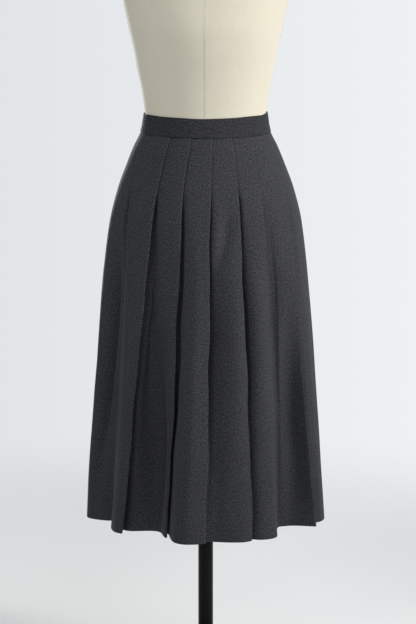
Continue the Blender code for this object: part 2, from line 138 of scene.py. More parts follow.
# The folds' angles at six heights, from the front centre towards +X, and how far out each edge and the start
# of the face under it stand at the hem. over is 1 where the face before the fold lies on the next, else -1.
FOLD_HEIGHTS = (0.300, 0.450, 0.660, 0.860, 0.965, 1.0705)
Fold = namedtuple("Fold", "over hem calf knee hip stitched seam tip under under_turn")
FOLDS = [
    Fold(-1, -95.7, -89.0, -84.0, -81.0, -76.0, -71.0, 1.010, 0.930, -4.0),
    Fold(-1, -61.8, -55.9, -52.4, -52.5, -55.4, -52.0, 0.888, 0.790, -19.3),
    Fold(1, -45.5, -41.9, -38.0, -33.8, -33.5, -33.0, 0.967, 0.858, -7.9),
    Fold(1, -21.6, -18.9, -16.2, -15.1, -15.0, -13.0, 0.909, 0.790, -1.0),
    Fold(1, 0.0, 0.6, 1.4, 1.8, 3.0, 5.0, 1.100, 1.035, 0.7),
    Fold(1, 20.8, 21.0, 20.2, 20.0, 21.0, 22.8, 1.048, 0.985, 1.4),
    Fold(1, 36.3, 36.4, 36.0, 35.8, 38.0, 42.4, 0.980, 0.720, 20.9),
    Fold(1, 67.3, 63.2, 62.4, 59.8, 61.5, 71.2, 0.985, 0.925, 9.6),
    Fold(1, 97.5, 95.0, 93.0, 92.0, 92.0, 95.0, 1.000, 0.905, 3.0),
    Fold(1, 119.0, 118.0, 117.0, 117.0, 117.0, 119.0, 1.030, 0.900, 6.0),
    Fold(-1, 141.0, 141.0, 141.0, 142.0, 142.0, 143.0, 1.035, 0.930, -2.0),
    Fold(-1, 162.0, 163.0, 164.0, 165.0, 166.0, 167.0, 1.060, 0.950, -1.0),
    Fold(-1, 183.0, 185.0, 187.0, 189.0, 190.0, 191.5, 1.030, 0.900, -7.0),
    Fold(-1, 203.0, 206.0, 209.0, 212.0, 214.0, 216.0, 1.075, 0.960, -1.0),
    Fold(-1, 224.0, 227.0, 231.0, 235.0, 238.5, 240.5, 1.020, 0.860, -8.0),
    Fold(-1, 244.5, 250.0, 255.0, 259.0, 264.0, 265.0, 1.000, 0.900, -4.0),
]
FIRST_SIDE_FOLD = 8
SECOND_SIDE_FOLD = 15

# How far out each face stands at the hem, at four places across it. Face 0 follows fold 0.
Face = namedtuple("Face", "first second third fourth")
FACES = [
    Face(1.000, 0.980, 0.940, 0.880),
    Face(0.912, 0.935, 0.955, 0.965),
    Face(0.837, 0.750, 0.725, 0.775),
    Face(0.935, 1.085, 1.147, 1.135),
    Face(1.033, 1.055, 1.075, 1.080),
    Face(1.035, 1.048, 1.042, 1.020),
    Face(0.730, 0.755, 0.800, 0.890),
    Face(0.970, 0.990, 1.000, 1.000),
    Face(0.930, 0.980, 1.020, 1.035),
    Face(0.870, 0.865, 0.870, 0.885),
    Face(1.040, 1.030, 1.000, 0.970),
    Face(1.060, 1.040, 1.000, 0.940),
    Face(1.045, 1.050, 1.040, 1.000),
    Face(1.080, 1.050, 0.990, 0.910),
    Face(1.035, 1.040, 1.010, 0.960),
    Face(1.015, 1.010, 0.990, 0.960),
]

# Soft troughs and ridges, placed one by one. Each runs down one face through three heights. Its places there
# are counted from 0, the face's start, to 1, its end. A place outside them leaves only the crease's nearer
# side on the face. depth is how far out it stands, below 0 for a trough, and width is its reach each way.
Crease = namedtuple("Crease", "face top top_at middle middle_at bottom bottom_at depth width")
CREASES = [
    Crease(0, 0.975, 1.00, 0.905, 1.00, 0.780, 1.00, -0.0060, 0.0090),
    Crease(0, 0.960, 0.45, 0.740, 0.60, 0.420, 0.75, -0.0070, 0.0260),
    Crease(0, 0.965, 0.70, 0.640, 0.64, 0.240, 0.62, -0.0360, 0.0240),
    Crease(1, 0.975, 0.00, 0.860, 0.00, 0.600, 0.00, 0.0030, 0.0120),
    Crease(1, 0.960, 0.85, 0.840, 1.00, 0.560, 1.00, 0.0040, 0.0140),
    Crease(0, 0.972, 1.00, 0.925, 1.00, 0.800, 1.00, -0.0070, 0.0055),
    Crease(2, 0.985, 0.00, 0.780, 0.18, 0.420, 0.45, -0.0150, 0.0130),
    Crease(2, 0.972, 0.00, 0.925, 0.02, 0.800, 0.10, -0.0070, 0.0050),
    Crease(2, 0.820, 0.22, 0.500, 0.52, 0.240, 0.60, -0.0300, 0.0250),
    Crease(2, 0.900, 0.86, 0.640, 0.84, 0.400, 0.80, 0.0050, 0.0180),
    Crease(3, 0.985, 0.00, 0.880, 0.00, 0.560, 0.00, -0.0110, 0.0060),
    Crease(3, 0.900, -0.25, 0.620, -0.25, 0.240, -0.30, -0.0110, 0.0240),
    Crease(3, 0.960, 0.70, 0.700, 0.68, 0.320, 0.70, 0.0050, 0.0220),
    Crease(4, 0.985, 0.00, 0.900, 0.00, 0.700, 0.00, -0.0080, 0.0050),
    Crease(4, 0.965, 0.66, 0.880, 0.52, 0.790, 0.10, -0.0060, 0.0120),
    Crease(4, 0.900, -0.25, 0.660, -0.30, 0.220, -0.30, -0.0260, 0.0400),
    Crease(4, 0.930, 0.30, 0.885, 0.28, 0.820, 0.16, 0.0030, 0.0100),
    Crease(4, 0.940, 0.85, 0.700, 0.78, 0.360, 0.78, 0.0050, 0.0180),
    Crease(5, 0.980, 0.00, 0.935, 0.00, 0.840, 0.00, -0.0090, 0.0055),
    Crease(5, 0.985, -0.20, 0.760, -0.25, 0.240, -0.30, -0.0210, 0.0250),
    Crease(5, 0.900, 0.58, 0.700, 0.56, 0.380, 0.56, 0.0050, 0.0180),
    Crease(6, 0.985, 0.10, 0.830, 0.18, 0.640, 0.20, -0.0070, 0.0120),
    Crease(6, 0.900, 0.00, 0.620, 0.00, 0.220, 0.05, -0.0110, 0.0260),
    Crease(6, 0.800, 0.62, 0.500, 0.70, 0.200, 0.74, -0.0240, 0.0220),
    Crease(7, 0.960, 0.05, 0.900, 0.05, 0.800, 0.05, -0.0030, 0.0080),
    Crease(2, 1.085, 0.00, 1.000, 0.00, 0.920, 0.00, -0.0012, 0.0030),
    Crease(3, 1.085, 0.00, 1.000, 0.00, 0.920, 0.00, -0.0014, 0.0030),
    Crease(4, 1.085, 0.00, 1.000, 0.00, 0.920, 0.00, -0.0013, 0.0030),
    Crease(5, 1.085, 0.00, 1.000, 0.00, 0.920, 0.00, -0.0014, 0.0030),
    Crease(6, 1.085, 0.00, 1.000, 0.00, 0.920, 0.00, -0.0012, 0.0030),
    Crease(8, 0.960, 0.50, 0.760, 0.48, 0.430, 0.55, 0.0040, 0.0260),
    Crease(9, 0.985, 0.00, 0.800, 0.10, 0.520, 0.30, -0.0110, 0.0110),
    Crease(9, 0.985, 1.00, 0.800, 0.92, 0.520, 0.75, -0.0100, 0.0110),
    Crease(10, 0.960, 0.40, 0.780, 0.45, 0.400, 0.45, 0.0040, 0.0260),
    Crease(10, 0.975, 1.00, 0.880, 1.00, 0.640, 1.00, -0.0050, 0.0080),
    Crease(11, 0.950, 0.55, 0.720, 0.60, 0.380, 0.65, -0.0045, 0.0220),
    Crease(11, 0.975, 1.00, 0.870, 1.00, 0.600, 1.00, -0.0055, 0.0080),
    Crease(12, 0.930, 0.35, 0.760, 0.40, 0.450, 0.42, 0.0045, 0.0240),
    Crease(12, 0.975, 1.00, 0.860, 1.00, 0.620, 1.00, -0.0060, 0.0080),
    Crease(13, 0.950, 0.70, 0.800, 0.60, 0.480, 0.50, -0.0050, 0.0200),
    Crease(13, 0.975, 1.00, 0.880, 1.00, 0.560, 1.00, -0.0050, 0.0080),
    Crease(14, 0.940, 0.40, 0.740, 0.38, 0.400, 0.42, 0.0040, 0.0260),
    Crease(14, 0.975, 1.00, 0.850, 1.00, 0.600, 1.00, -0.0060, 0.0090),
    Crease(15, 0.950, 0.50, 0.780, 0.52, 0.420, 0.55, 0.0030, 0.0240),
    Crease(15, 0.975, 1.00, 0.870, 1.00, 0.620, 1.00, -0.0035, 0.0070),
]


# Curves through the tables

def smooth_curve(at, values, x):
    """A curve through the given values that never swings past them."""
    x = min(max(x, at[0]), at[-1])
    i = min(max(int(np.searchsorted(at, x)) - 1, 0), len(at) - 2)
    slopes = [(values[k + 1] - values[k]) / (at[k + 1] - at[k]) for k in range(len(at) - 1)]

    def tangent(k):
        if k == 0:
            return slopes[0]
        if k == len(at) - 1:
            return slopes[-1]
        before, after = slopes[k - 1], slopes[k]
        if before * after <= 0:
            return 0.0
        return 2 * before * after / (before + after)

    width = at[i + 1] - at[i]
    t = (x - at[i]) / width
    start = values[i] * (1 + 2 * t) * (1 - t) ** 2 + tangent(i) * width * t * (1 - t) ** 2
    end = values[i + 1] * t * t * (3 - 2 * t) - tangent(i + 1) * width * t * t * (1 - t)
    return start + end


def level_at(rows, height):
    at = [row.height for row in rows]
    return Level(height, *(smooth_curve(at, [row[k] for row in rows], height) for k in (1, 2, 3)))


def ease(x):
    """0 to 1 with soft ends, for x from 0 to 1."""
    x = np.clip(x, 0.0, 1.0)
    return x * x * (3 - 2 * x)


def through_points(values, part):
    """A smooth curve through evenly spaced values, read at the parts from 0 to 1."""
    values = np.asarray(values, float)
    last = len(values) - 1
    place = np.clip(part, 0, 1) * last
    i = np.minimum(place.astype(int), last - 1)
    t = place - i
    padded = np.concatenate(([2 * values[0] - values[1]], values, [2 * values[-1] - values[-2]]))
    before, start, end, after = (padded[i + k] for k in range(4))
    first = (end - before) / 2
    second = (after - start) / 2
    return (
        start * (1 + 2 * t) * (1 - t) ** 2
        + first * t * (1 - t) ** 2
        + end * t * t * (3 - 2 * t)
        - second * t * t * (1 - t)
    )


def unit(vectors):
    vectors = np.asarray(vectors, float)
    return vectors / np.maximum(np.linalg.norm(vectors, axis=-1, keepdims=True), 1e-12)


def inward(directions):
    """The side that faces into the skirt, of lines that run round towards larger angles."""
    directions = np.asarray(directions, float)
    return np.stack((-directions[..., 1], directions[..., 0]), axis=-1)


def on_level(level, angles, out=1.0, inset=0.0):
    """Points in plan at angles round one level of a table."""
    cosine = np.cos(angles)
    depth = np.where(cosine > 0, level.front, level.back) - inset
    return np.stack((out * (level.half_width - inset) * np.sin(angles), -out * depth * cosine), axis=-1)


def dip(points, height):
    """How far the tilted waist lowers points at a height."""
    fade = min(max((height - DIP_FADES_AT) / (BAND_SEAM - DIP_FADES_AT), 0.0), 1.0)
    return WAIST_DIP * fade * -points[:, 1] / np.maximum(np.linalg.norm(points, axis=1), 1e-9)


# The pleated cloth

def opening(height, power):
    """How far the pleats have opened: 0 where they are sewn down, 1 at the hem."""
    return (max(STITCHED_TO - height, 0.0) / (STITCHED_TO - HEM)) ** power


def fold_angle(index, height):
    fold = FOLDS[index]
    angles = [fold.hem, fold.calf, fold.knee, fold.hip, fold.stitched, fold.seam]
    angle = math.radians(smooth_curve(FOLD_HEIGHTS, angles, height))
    free = ease((STITCHED_TO - height) / FOLD_FREE_OVER)
    stray = math.sin(height * 23 + index * 2.4) + 0.6 * math.sin(height * 51 + index * 4.1)
    return angle + FOLD_WANDER * free * stray / MEAN_RADIUS


def layer_step(height):
    near_hem = ease((HEM + 2.5 * HEM_DEPTH - height) / (2 * HEM_DEPTH))
    return LAYER_STEP + (HEM_LAYER_STEP - LAYER_STEP) * near_hem


def creased(index, height, part, width):
    """How far the creases of a face move its points out."""
    moved = np.zeros_like(part)
    for crease in CREASES:
        if crease.face != index or not crease.bottom < height < crease.top:
            continue
        heights = (crease.bottom, crease.middle, crease.top)
        at = smooth_curve(heights, (crease.bottom_at, crease.middle_at, crease.top_at), height)
        if height > crease.middle:
            strength = ease((crease.top - height) / (crease.top - crease.middle))
        else:
            strength = ease((height - crease.bottom) / (crease.middle - crease.bottom))
        across = (part - at) * width / crease.width
        moved += crease.depth * strength * np.exp(-across * across)
    return moved


def ripples(angles, height):
    """A slight unevenness of the hang, below the stitching."""
    free = ease((STITCHED_TO - height) / RIPPLE_FREE_OVER)
    waves = (
        0.5 * np.sin(angles * 17 + height * 9)
        + 0.3 * np.sin(angles * 31 - height * 14 + 1.3)
        + 0.25 * np.sin(angles * 9 + height * 37 + 0.6)
    )
    return RIPPLE_DEPTH * free * waves


def face_line(index, height, level):
    """The points across one face, from the fold before it to the fold after it."""
    after_index = (index + 1) % len(FOLDS)
    before, after = FOLDS[index], FOLDS[after_index]
    folds_opened = opening(height, FOLD_OPENING_POWER)
    face_opened = opening(height, FACE_OPENING_POWER)
    start = fold_angle(index, height)
    end = fold_angle(after_index, height) + (2 * math.pi if after_index == 0 else 0.0)
    start_under = before.over == 1
    end_under = after.over == -1
    if start_under:
        start += math.radians(before.under_turn) * folds_opened
    if end_under:
        end += math.radians(after.under_turn) * folds_opened
    first = before.under if start_under else before.tip
    last = after.under if end_under else after.tip
    outs = [1 + (out - 1) * face_opened for out in FACES[index]]
    outs = [1 + (first - 1) * folds_opened, *outs, 1 + (last - 1) * folds_opened]
    part = np.linspace(0, 1, FACE_COLUMNS + 1)
    angles = start + (end - start) * part
    deep = 2 * layer_step(height) * (1 - folds_opened)
    sunk = CLOTH / 2 + deep * ((1 - part) * start_under + part * end_under)
    sunk = sunk + ROLL_DEPTH * ease((height - BAND_SEAM + ROLL_HEIGHT) / ROLL_HEIGHT)
    line = on_level(level, angles, through_points(outs, part))
    along = unit(np.gradient(line, axis=0))
    width = float(np.linalg.norm(np.diff(line, axis=0), axis=1).sum())
    moved = creased(index, height, part, width) + ripples(angles, height) - sunk
    return line - inward(along) * moved[:, None]


def turn(centre, side, forward, radius):
    """The points round a folded edge, from one layer to the next."""
    steps = np.arange(1, TURN_COLUMNS + 1) / (TURN_COLUMNS + 1) * math.pi
    return centre - side * (radius * np.cos(steps))[:, None] + forward * (radius * np.sin(steps))[:, None]


def folded_under(upper, under, step):
    """The hidden part of a pleat: from the edge of the face on top, back under it, and out to the face below.

    Returns its points without its two ends, and which of them a side seam would cut."""
    edge = upper[-1]
    along = unit(np.gradient(upper, axis=0))
    sides = inward(along)
    forward = unit(edge - upper[-2])
    side = inward(forward)
    room = float(np.dot(under - edge, side))
    shift = under - edge - side * room
    slack = LAYERS_HANG * max(room - 2 * step, 0.0)
    share = np.linspace(0, 1, HIDDEN_COLUMNS + 1)
    part = (1 - LAP * share) * FACE_COLUMNS
    whole = np.arange(len(upper))
    back = np.stack([np.interp(part, whole, upper[:, k]) for k in (0, 1)], axis=1)
    back_side = unit(np.stack([np.interp(part, whole, sides[:, k]) for k in (0, 1)], axis=1))
    outer_layer = back + back_side * (step + slack * ease(share))[:, None]
    depth = room + (2 * step + slack - room) * share
    inner_layer = (back + back_side * depth[:, None] + shift * (1 - share)[:, None])[::-1]
    first_turn = turn(edge + side * step / 2, side, forward, step / 2)
    far = (outer_layer[-1] + inner_layer[0]) / 2
    second_turn = turn(far, back_side[-1], -unit(back[-2] - back[-1]), step / 2)
    points = np.concatenate((first_turn, outer_layer, second_turn, inner_layer[:-1]))
    seam = len(points) - HIDDEN_COLUMNS // 2 - 1
    return points, seam


def mirrored(points):
    return np.asarray(points) * (-1, 1)


def hidden_line(index, height, faces):
    """The hidden part of one fold in order round the skirt, and which point a side seam cuts."""
    before, after = faces[index - 1], faces[index]
    step = layer_step(height)
    if FOLDS[index].over == 1:
        return folded_under(before, after[0], step)
    points, seam = folded_under(mirrored(after[::-1]), mirrored(before[-1]), step)
    return mirrored(points)[::-1], len(points) - 1 - seam


def stretch(points, known, at):
    """A stretch of cloth with its place in the flat cloth: known is the place of its point number at."""
    run = np.concatenate(([0.0], np.cumsum(np.linalg.norm(np.diff(points, axis=0), axis=1))))
    return points, run - run[at] + known


def cloth_line(first_fold, last_fold, height):
    """The cloth's middle line between two side seams at one height, and its places in the flat cloth."""
    level = level_at(OUTLINE, height)
    count = len(FOLDS)
    faces = [face_line(i, height, level) for i in range(count)]
    total = (last_fold - first_fold) % count
    stretches = []
    for step in range(total + 1):
        index = (first_fold + step) % count
        hidden, seam = hidden_line(index, height, faces)
        over = FOLDS[index].over == 1
        previous, current = faces[index - 1], faces[index]
        nearby = unit(hidden[seam + 1] - hidden[seam]) * SEAM_GAP / 2
        if step == 0:
            points = np.concatenate(([hidden[seam] + nearby], hidden[seam + 1:], current[:1]))
            anchored = not over
        elif step == total:
            points = np.concatenate((previous[-1:], hidden[:seam], [hidden[seam] - nearby]))
            anchored = over
        else:
            points = np.concatenate((previous[-1:], hidden, current[:1]))
            anchored = True
        half_before = np.linalg.norm(np.diff(previous, axis=0), axis=1).sum() / 2
        half_after = np.linalg.norm(np.diff(current, axis=0), axis=1).sum() / 2
        if over or (step == total and not anchored):
            stretches.append(stretch(points, FLAT_FACE_SPACING * ((index - 1) % count) + half_before, 0))
        else:
            stretches.append(stretch(points, FLAT_FACE_SPACING * index - half_after, -1))
        if step < total:
            middle = FACE_COLUMNS // 2
            stretches.append(stretch(current, FLAT_FACE_SPACING * index, middle))
    line = np.concatenate([points[:-1] for points, _ in stretches] + [stretches[-1][0][-1:]])
    starts = np.concatenate([places[:-1] for _, places in stretches])
    ends = np.concatenate([places[1:] for _, places in stretches])
    return line, starts, ends


def beside(line, distance):
    """Points at a distance inside a line, or outside it where that is below 0, cut off at sharp corners."""
    steps = unit(np.diff(line, axis=0))
    before = np.concatenate((steps[:1], steps))
    after = np.concatenate((steps, steps[-1:]))
    middle = unit(inward(before) + inward(after))
    reach = np.maximum((middle * inward(after)).sum(axis=1), 0.6)
    return line + middle * (distance / reach)[:, None]


def ring_heights():
    top = BAND_SEAM - SEAM_GAP
    body = HEM + HEM_EDGE
    rolled = [top, top - 0.0009, top - 0.0018, top - 0.0027]
    start = top - 0.0040
    count = round((start - body) / RING_SPACING)
    turned_up = HEM + HEM_DEPTH
    even = [start + (body - start) * i / count for i in range(count + 1)]
    even = [h for h in even if abs(h - turned_up) > 0.0032]
    return sorted([*rolled, *even, turned_up + 0.0008, turned_up - 0.0008, HEM + 0.0004, HEM], reverse=True)


def new_piece(name, vertices, faces, material, flat_places=None, sharp_angle=None):
    mesh = bpy.data.meshes.new(name)
    mesh.from_pydata([tuple(v) for v in vertices], [], [tuple(f) for f in faces])
    if flat_places is not None:
        mesh.uv_layers.new(name="cloth").data.foreach_set("uv", np.asarray(flat_places, np.float32).ravel())
    mesh.shade_smooth()
    if sharp_angle:
        mesh.set_sharp_from_angle(angle=math.radians(sharp_angle))
    mesh.materials.append(material)
    piece = bpy.data.objects.new(name, mesh)
    bpy.context.scene.collection.objects.link(piece)
    return piece


def skirt_shell(name, first_fold, last_fold, material):
    """One length of the pleated cloth as a closed wall with a turned-up hem."""
    outer, inner, starts, ends, heights = [], [], [], [], ring_heights()
    for height in heights:
        line, start, end = cloth_line(first_fold, last_fold, height)
        hem_round = HEM_EDGE_SHARE + (1 - HEM_EDGE_SHARE) * ease((height - HEM) / HEM_EDGE)
        doubled = HEM_CLOTH if height < HEM + HEM_DEPTH else 0.0
        drop = dip(line, height)
        for grid, offset in ((outer, -CLOTH / 2 * hem_round), (inner, CLOTH / 2 * hem_round + doubled)):
            side = beside(line, np.full(len(line), offset))
            grid.append(np.column_stack((side, height - drop)))
        starts.append(start)
        ends.append(end)
    rows, columns = len(heights), len(outer[0])
    vertices = np.concatenate((*outer, *inner))
    inside = rows * columns
    faces, places = [], []

    def quad(a, b, c, d, ua, ub, uc, ud):
        faces.append((a, b, c, d))
        places.extend((ua, ub, uc, ud))

    for r in range(rows - 1):
        above, below = r * columns, (r + 1) * columns
        high, low = heights[r], heights[r + 1]
        for c in range(columns - 1):
            upper = ((starts[r][c], high), (ends[r][c], high))
            lower = ((starts[r + 1][c], low), (ends[r + 1][c], low))
            corners = (upper[0], lower[0], lower[1], upper[1])
            quad(above + c, below + c, below + c + 1, above + c + 1, *corners)
            back = (above + c, above + c + 1, below + c + 1, below + c)
            quad(*(inside + i for i in back), corners[0], corners[3], corners[2], corners[1])
        first, last = (starts[r][0], high), (ends[r][-1], high)
        quad(above, above + inside, below + inside, below, first, first, first, first)
        far_above, far_below = above + columns - 1, below + columns - 1
        quad(far_above, far_below, far_below + inside, far_above + inside, last, last, last, last)
    bottom = (rows - 1) * columns
    for c in range(columns - 1):
        for row, flipped in ((0, False), (bottom, True)):
            r = 0 if row == 0 else rows - 1
            a, b = (starts[r][c], heights[r]), (ends[r][c], heights[r])
            ring = [row + c, row + c + 1, inside + row + c + 1, inside + row + c]
            corners = [a, b, b, a]
            if flipped:
                ring, corners = ring[::-1], corners[::-1]
            quad(*ring, *corners)
    return new_piece(name, vertices, faces, material, places)


# The waistband

BAND_COLUMNS = 110
BAND_EDGE = 0.0011         # radius of the band's rounded edges
BAND_CROWN = 0.0007        # the band's face is fuller than its edges by this
BAND_END_ROUND = 0.0016    # the band turns in over this length beside its side seams
BAND_END_PULL = 0.0009     # by this much
BAND_END_BULGE = 0.0011    # and its lower corner stands out by this
BAND_BULGE_REACH = 0.006   # along the band from the seam
BAND_BULGE_FADE = 2.2      # fading this many times as fast as the band is high
BAND_CROWN_SET = 0.7       # the face is set in by this part of its fullness
BAND_WAVES = ((0.00025, 41, 1), (0.0002, 97, 2))    # its edge's height, how often in a metre, and shift


def band_section():
    """Round the band's section: how far out from its inner face, and how high, both as parts."""
    section = []
    edge_out, edge_up = BAND_EDGE / BAND_CLOTH, BAND_EDGE / BAND_HEIGHT
    for centre_out, centre_up, start in (
        (1 - edge_out, edge_up, -90),
        (1 - edge_out, 1 - edge_up, 0),
        (edge_out, 1 - edge_up, 90),
        (edge_out, edge_up, 180),
    ):
        for i in range(5):
            turned = math.radians(start + 22.5 * i)
            section.append((centre_out + edge_out * math.cos(turned), centre_up + edge_up * math.sin(turned)))
        if start in (-90, 90):
            to = 1 - edge_up if start == -90 else edge_up
            out = 1 if start == -90 else 0
            for i in range(1, 8):
                section.append((out, centre_up + (to - centre_up) * i / 8))
    return section


def band_shell(name, start, end, lifted, material):
    """One half of the waistband, with rounded edges and a soft fullness."""
    waist = level_at(OUTLINE, WAIST_TOP)
    half_gap = SEAM_GAP / 2 / waist.front
    first, last = math.radians(start) + half_gap, math.radians(end) - half_gap
    section = band_section()
    length = (last - first) * 0.5 * (waist.half_width + waist.front)
    ends = [0.0, 0.0005, 0.0012, 0.0022, 0.0040]
    even = list(np.linspace(0.0075, length - 0.0075, BAND_COLUMNS))
    runs = [*ends, *even, *(length - e for e in reversed(ends))]
    columns = []
    for run in runs:
        angle = first + (last - first) * run / length
        from_end = min(run, length - run)
        pulled = 1 - ease(from_end / BAND_END_ROUND)
        near_seam = math.exp(-(from_end / BAND_BULGE_REACH) ** 2)
        near_end = max(1 - (last - angle) / math.radians(BAND_LIFT_TURN), 0.0) if lifted else 0.0
        soft = sum(high * math.sin(run * often + shift * start) for high, often, shift in BAND_WAVES)
        column = []
        for out, up in section:
            height = BAND_SEAM + BAND_HEIGHT * up
            level = level_at(OUTLINE, height)
            crown = BAND_CROWN * (BAND_CROWN_SET - math.sin(math.pi * up))
            bulge = BAND_END_BULGE * near_seam * max(1 - up * BAND_BULGE_FADE, 0.0)
            inset = BAND_CLOTH * (1 - out) + (BAND_END_PULL * pulled - bulge + crown) * out
            point = on_level(level, np.array([angle]), inset=inset)
            lift = (BAND_RISE + BAND_END_LIFT * near_end ** 2) * up
            drop = float(dip(point, height)[0])
            column.append((point[0, 0], point[0, 1], height - drop + lift + soft * up))
        columns.append(column)
    around = len(section)
    vertices = [p for column in columns for p in column]
    faces, places = [], []
    for c in range(len(columns) - 1):
        for i in range(around):
            j = (i + 1) % around
            faces.append((c * around + i, (c + 1) * around + i, (c + 1) * around + j, c * around + j))
            low, high = section[i][1] * BAND_HEIGHT, section[j][1] * BAND_HEIGHT
            if j == 0:
                high = low
            places.extend(((runs[c], low), (runs[c + 1], low), (runs[c + 1], high), (runs[c], high)))
    for c, flip in ((0, True), (len(columns) - 1, False)):
        cap = [c * around + i for i in range(around)]
        faces.append(cap[::-1] if flip else cap)
        places.extend((runs[c], section[i % around][1] * BAND_HEIGHT) for i in cap)
    piece = new_piece(name, vertices, faces, material, places, sharp_angle=50)
    outward(piece)
    return piece


def outward(piece):
    """Turns a closed mesh's faces outwards."""
    data = bmesh.new()
    data.from_mesh(piece.data)
    bmesh.ops.recalc_face_normals(data, faces=data.faces)
    data.to_mesh(piece.data)
    data.free()


# The dress form and its stand

FORM_COLUMNS = 120
FORM_RING_SPACING = 0.007
FORM_EDGE = 0.006


def form_point(level, angle, height, inset=0.0):
    near_waist = max(1 - abs(height - WAIST_TOP) / WAIST_TILT_REACH, 0.0)
    power = FORM_ROUNDNESS + (1 - FORM_ROUNDNESS) * near_waist
    sine, cosine = math.sin(angle), math.cos(angle)
    across = math.copysign(abs(sine) ** power, sine)
    along = math.copysign(abs(cosine) ** power, cosine)
    depth = (level.front if cosine > 0 else level.back) - inset
    tilt = WAIST_DIP * min(2 * near_waist, 1.0)
    return ((level.half_width - inset) * across, -depth * along, height - tilt * cosine)


def form_shell(material):
    """The torso as one smooth closed shell with a rounded lower edge."""
    count = round((FORM_TOP - FORM_BOTTOM - FORM_EDGE) / FORM_RING_SPACING)
    low = FORM_BOTTOM + FORM_EDGE
    rings = []
    for i in range(5):
        turned = math.radians(90 * i / 5)
        rings.append((low - FORM_EDGE * math.cos(turned), FORM_EDGE * (1 - math.sin(turned))))
    rings += [(low + (FORM_TOP - low) * i / count, 0.0) for i in range(count + 1)]
    vertices = []
    for height, inset in rings:
        level = level_at(FORM, height)
        for k in range(FORM_COLUMNS):
            vertices.append(form_point(level, 2 * math.pi * k / FORM_COLUMNS, height, inset))
    faces = []
    for r in range(len(rings) - 1):
        for k in range(FORM_COLUMNS):
            j = (k + 1) % FORM_COLUMNS
            a, b = r * FORM_COLUMNS, (r + 1) * FORM_COLUMNS
            faces.append((a + k, a + j, b + j, b + k))
    top = (len(rings) - 1) * FORM_COLUMNS
    faces.append(tuple(range(FORM_COLUMNS))[::-1])
    faces.append(tuple(range(top, top + FORM_COLUMNS)))
    return new_piece("form_torso_cover", vertices, faces, material, sharp_angle=40)


def corner(radius_at, height_at, size, start, steps=4):
    """Points round a turned piece's rounded corner, whose circle's middle is given."""
    points = []
    for i in range(steps + 1):
        turned = math.radians(start + 90 * i / steps)
        points.append((radius_at + size * math.cos(turned), height_at + size * math.sin(turned)))
    return points


def turned_piece(name, profile, sides, material):
    """A turned piece from (radius, height) points, from the axis round the outside and back to the axis."""
    vertices, rings = [], []
    for radius, height in profile:
        if radius == 0:
            rings.append([len(vertices)] * sides)
            vertices.append((0, 0, height))
            continue
        rings.append([len(vertices) + i for i in range(sides)])
        for i in range(sides):
            angle = 2 * math.pi * i / sides
            vertices.append((radius * math.cos(angle), radius * math.sin(angle), height))
    faces = []
    for lower, upper in zip(rings, rings[1:]):
        for i in range(sides):
            j = (i + 1) % sides
            ring = list(dict.fromkeys((lower[i], lower[j], upper[j], upper[i])))
            faces.append(ring)
    piece = new_piece(name, vertices, faces, material, sharp_angle=40)
    outward(piece)
    return piece


def neck_cap(material):
    bottom = FORM_TOP + SEAM_GAP
    top = bottom + NECK_CAP_HEIGHT
    edge = 0.0035
    low_edge = 0.0012
    profile = [(0, bottom), (NECK_CAP_RADIUS - low_edge, bottom)]
    profile += corner(NECK_CAP_RADIUS - low_edge, bottom + low_edge, low_edge, -90)
    profile += corner(NECK_CAP_RADIUS - edge, top - edge, edge, 0, 8)
    profile += [(NECK_CAP_RADIUS * 0.6, top), (0, top)]
    return turned_piece("form_neck_plate", profile, 96, material)


def stand_pole(material):
    bottom = BASE_THICKNESS + SEAM_GAP
    top = FORM_BOTTOM - POLE_SINK
    edge = 0.0006
    rim = POLE_RADIUS - edge
    profile = [(0, bottom), (rim, bottom), *corner(rim, bottom + edge, edge, -90)]
    profile += [*corner(rim, top - edge, edge, 0), (0, top)]
    return turned_piece("stand_pole_tube", profile, 64, material)


def stand_collar(material):
    top = FORM_BOTTOM - SEAM_GAP
    bottom = top - COLLAR_LENGTH
    bore = POLE_RADIUS + SEAM_GAP
    bore_top = FORM_BOTTOM - POLE_SINK + SEAM_GAP
    flange = top - COLLAR_FLANGE_THICKNESS
    edge = 0.0012
    profile = [(0, bore_top), (bore, bore_top), (bore, bottom), (COLLAR_RADIUS - edge, bottom)]
    profile += corner(COLLAR_RADIUS - edge, bottom + edge, edge, -90)
    profile += [(COLLAR_RADIUS, flange), (COLLAR_FLANGE - edge, flange)]
    profile += corner(COLLAR_FLANGE - edge, flange + edge, edge, -90)
    profile += [*corner(COLLAR_FLANGE - edge, top - edge, edge, 0), (0, top)]
    return turned_piece("stand_collar_sleeve", profile, 64, material)


def stand_base(material):
    bore = POLE_RADIUS + SEAM_GAP
    edge = 0.0022
    small = 0.0012
    profile = [(0, 0), (BASE_RADIUS - edge, 0), *corner(BASE_RADIUS - edge, edge, edge, -90)]
    profile += corner(BASE_RADIUS - edge, BASE_THICKNESS - edge, edge, 0)
    weld = 0.004
    for i in range(5):
        turned = math.radians(90 * i / 4)
        radius = BASE_BOSS_RADIUS + weld * (1 - math.sin(turned))
        profile.append((radius, BASE_THICKNESS + weld * (1 - math.cos(turned))))
    profile += corner(BASE_BOSS_RADIUS - small, BASE_BOSS_HEIGHT - small, small, 0)
    profile += [(bore, BASE_BOSS_HEIGHT), (bore, BASE_THICKNESS), (0, BASE_THICKNESS)]
    return turned_piece("stand_base_plate", profile, 128, material)


# Stitches and seams that follow a path, made by Geometry Nodes

def add_node(tree, kind, feeds=None, **settings):
    """A node with its settings, and with each named input linked to a socket or set to a value."""
    made = tree.nodes.new(kind)
    for name, value in settings.items():
        setattr(made, name, value)
    for name, value in (feeds or {}).items():
        if isinstance(value, bpy.types.NodeSocket):
            tree.links.new(value, made.inputs[name])
        else:
            made.inputs[name].default_value = value
    return made


